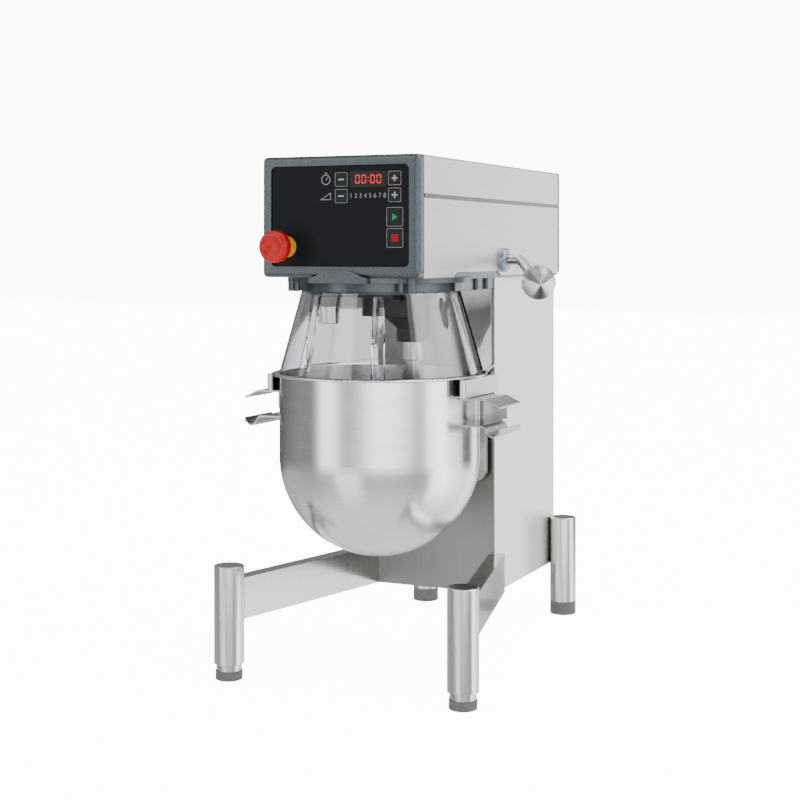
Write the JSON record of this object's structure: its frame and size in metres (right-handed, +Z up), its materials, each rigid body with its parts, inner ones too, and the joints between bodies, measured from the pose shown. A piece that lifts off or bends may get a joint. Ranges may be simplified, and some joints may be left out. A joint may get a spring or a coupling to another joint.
{
  "type": "commercial stand mixer",
  "caption": "Counter-top planetary mixer on an outrigger stand, with a lever-lifted bowl, a turning clear guard, a belt-driven whisk and a front control panel.",
  "frame": {"origin": "bottom centre of the whole machine's box, on the surface it stands on", "axes": "+Z up, -Y is the front with the control panel, +X is the side with the hand lever"},
  "size_m": [0.407, 0.5928, 0.667],
  "materials": {
    "casing_steel": "brushed",
    "column_steel": "brushed vertically",
    "bowl_steel": "spun and brushed",
    "machined_steel": "turned",
    "blue_grey_paint": "hammered",
    "black_cast": "satin",
    "panel_black": "satin",
    "key_black": "satin",
    "display_dark": "gloss",
    "stop_red": "gloss",
    "stop_yellow": "satin",
    "clear_sheet": "clear",
    "foot_rubber": "matt",
    "belt_rubber": "matt",
    "casting_iron": "painted",
    "gear_steel": "machined",
    "motor_alloy": "cast",
    "carriage_alloy": "milled",
    "board_green": "satin",
    "box_grey": "matt"
  },
  "bodies": {
    "stand": {"column_shell": "column_steel", "rear_cover": "column_steel", "base_plate": "column_steel", "outriggers": "column_steel", "legs": "column_steel", "levelling_feet": "machined_steel", "rubber_feet": "foot_rubber", "head_casting": "casting_iron", "side_shells": "casing_steel", "top_cover": "casing_steel", "trim_strip": "blue_grey_paint", "rear_plate": "blue_grey_paint", "bezel": "blue_grey_paint", "control_panel": "panel_black", "display_window": "display_dark", "control_board": "board_green", "guard_flange": "blue_grey_paint", "rear_guard": "clear_sheet", "ring_gear": "gear_steel", "shaft_bearings": "gear_steel", "lever_bush": "blue_grey_paint", "guide_rods": "machined_steel", "motor_housing": "motor_alloy", "drive_belt": "belt_rubber", "inverter_box": "box_grey", "cable_gland": "foot_rubber", "cover_screws": "machined_steel", "stop_collar": "stop_yellow", "stop_switch": "panel_black"},
    "planet_carrier": {"planet_housing": "black_cast", "main_shaft": "machined_steel", "main_pulley": "casting_iron", "accessory_stub": "machined_steel", "tool_bearings": "gear_steel"},
    "tool": {"planet_pinion": "gear_steel", "tool_shaft": "machined_steel", "whisk_hub": "machined_steel", "whisk_wires": "machined_steel"},
    "rotor": {"motor_rotor": "gear_steel", "motor_pulley": "gear_steel"},
    "bowl_lift": {"carrier_plate": "bowl_steel", "bowl_fork": "bowl_steel", "mixing_bowl": "bowl_steel", "bowl_handles": "bowl_steel", "lift_carriage": "carriage_alloy", "lift_link": "machined_steel"},
    "hand_lever": {"lever_arm": "machined_steel", "lever_ball": "machined_steel", "lift_crank": "machined_steel"},
    "guard": {"guard_ring": "blue_grey_paint", "guard_skirt": "clear_sheet"},
    "stop_plunger": {"stop_stem": "machined_steel"},
    "stop_button": {"stop_cap": "stop_red"},
    "key_time_down": {"key_time_down": "key_black"},
    "key_time_up": {"key_time_up": "key_black"},
    "key_speed_down": {"key_speed_down": "key_black"},
    "key_speed_up": {"key_speed_up": "key_black"},
    "key_start": {"key_start": "key_black"},
    "key_stop": {"key_stop": "key_black"}
  },
  "joints": [
    {"name": "carrier_spin", "type": "hinge", "parent": "stand", "child": "planet_carrier", "pos_m": [-0.02245, -0.13905, 0.5], "axis": [0, 0, 1], "continuous": true},
    {"name": "tool_spin", "type": "hinge", "parent": "planet_carrier", "child": "tool", "pos_m": [0.01768, -0.12101, 0.42], "axis": [0, 0, 1], "continuous": true},
    {"name": "rotor_spin", "type": "hinge", "parent": "stand", "child": "rotor", "pos_m": [-0.02245, 0.16055, 0.45], "axis": [0, 0, 1], "continuous": true},
    {"name": "lift_slide", "type": "slide", "parent": "stand", "child": "bowl_lift", "axis": [0, 0, -1], "range_m": [0, 0.09]},
    {"name": "lever_swing", "type": "hinge", "parent": "stand", "child": "hand_lever", "pos_m": [0.03755, 0.03055, 0.5365], "axis": [1, 0, 0], "range_deg": [-100, 0]},
    {"name": "guard_turn", "type": "hinge", "parent": "stand", "child": "guard", "pos_m": [-0.02245, -0.13905, 0.5], "axis": [0, 0, 1], "range_deg": [0, 120]},
    {"name": "stop_press", "type": "slide", "parent": "stand", "child": "stop_plunger", "axis": [0, 1, 0], "range_m": [0, 0.004], "stiffness_N_per_m": 1500},
    {"name": "stop_twist", "type": "hinge", "parent": "stop_plunger", "child": "stop_button", "pos_m": [-0.09615, -0.28945, 0.554], "axis": [0, 1, 0], "range_deg": [0, 30], "stiffness_Nm_per_rad": 0.2},
    {"name": "key_time_down_press", "type": "slide", "parent": "stand", "child": "key_time_down", "axis": [0, 1, 0], "range_m": [0, 0.0008], "stiffness_N_per_m": 800},
    {"name": "key_time_up_press", "type": "slide", "parent": "stand", "child": "key_time_up", "axis": [0, 1, 0], "range_m": [0, 0.0008], "stiffness_N_per_m": 800},
    {"name": "key_speed_down_press", "type": "slide", "parent": "stand", "child": "key_speed_down", "axis": [0, 1, 0], "range_m": [0, 0.0008], "stiffness_N_per_m": 800},
    {"name": "key_speed_up_press", "type": "slide", "parent": "stand", "child": "key_speed_up", "axis": [0, 1, 0], "range_m": [0, 0.0008], "stiffness_N_per_m": 800},
    {"name": "key_start_press", "type": "slide", "parent": "stand", "child": "key_start", "axis": [0, 1, 0], "range_m": [0, 0.0008], "stiffness_N_per_m": 800},
    {"name": "key_stop_press", "type": "slide", "parent": "stand", "child": "key_stop", "axis": [0, 1, 0], "range_m": [0, 0.0008], "stiffness_N_per_m": 800}
  ],
  "couplings": [
    {"joint": "tool_spin", "follows": "carrier_spin", "ratio": -3.75},
    {"joint": "rotor_spin", "follows": "carrier_spin", "ratio": 3},
    {"joint": "lever_swing", "follows": "lift_slide", "rad_per_m": -19.392}
  ]
}
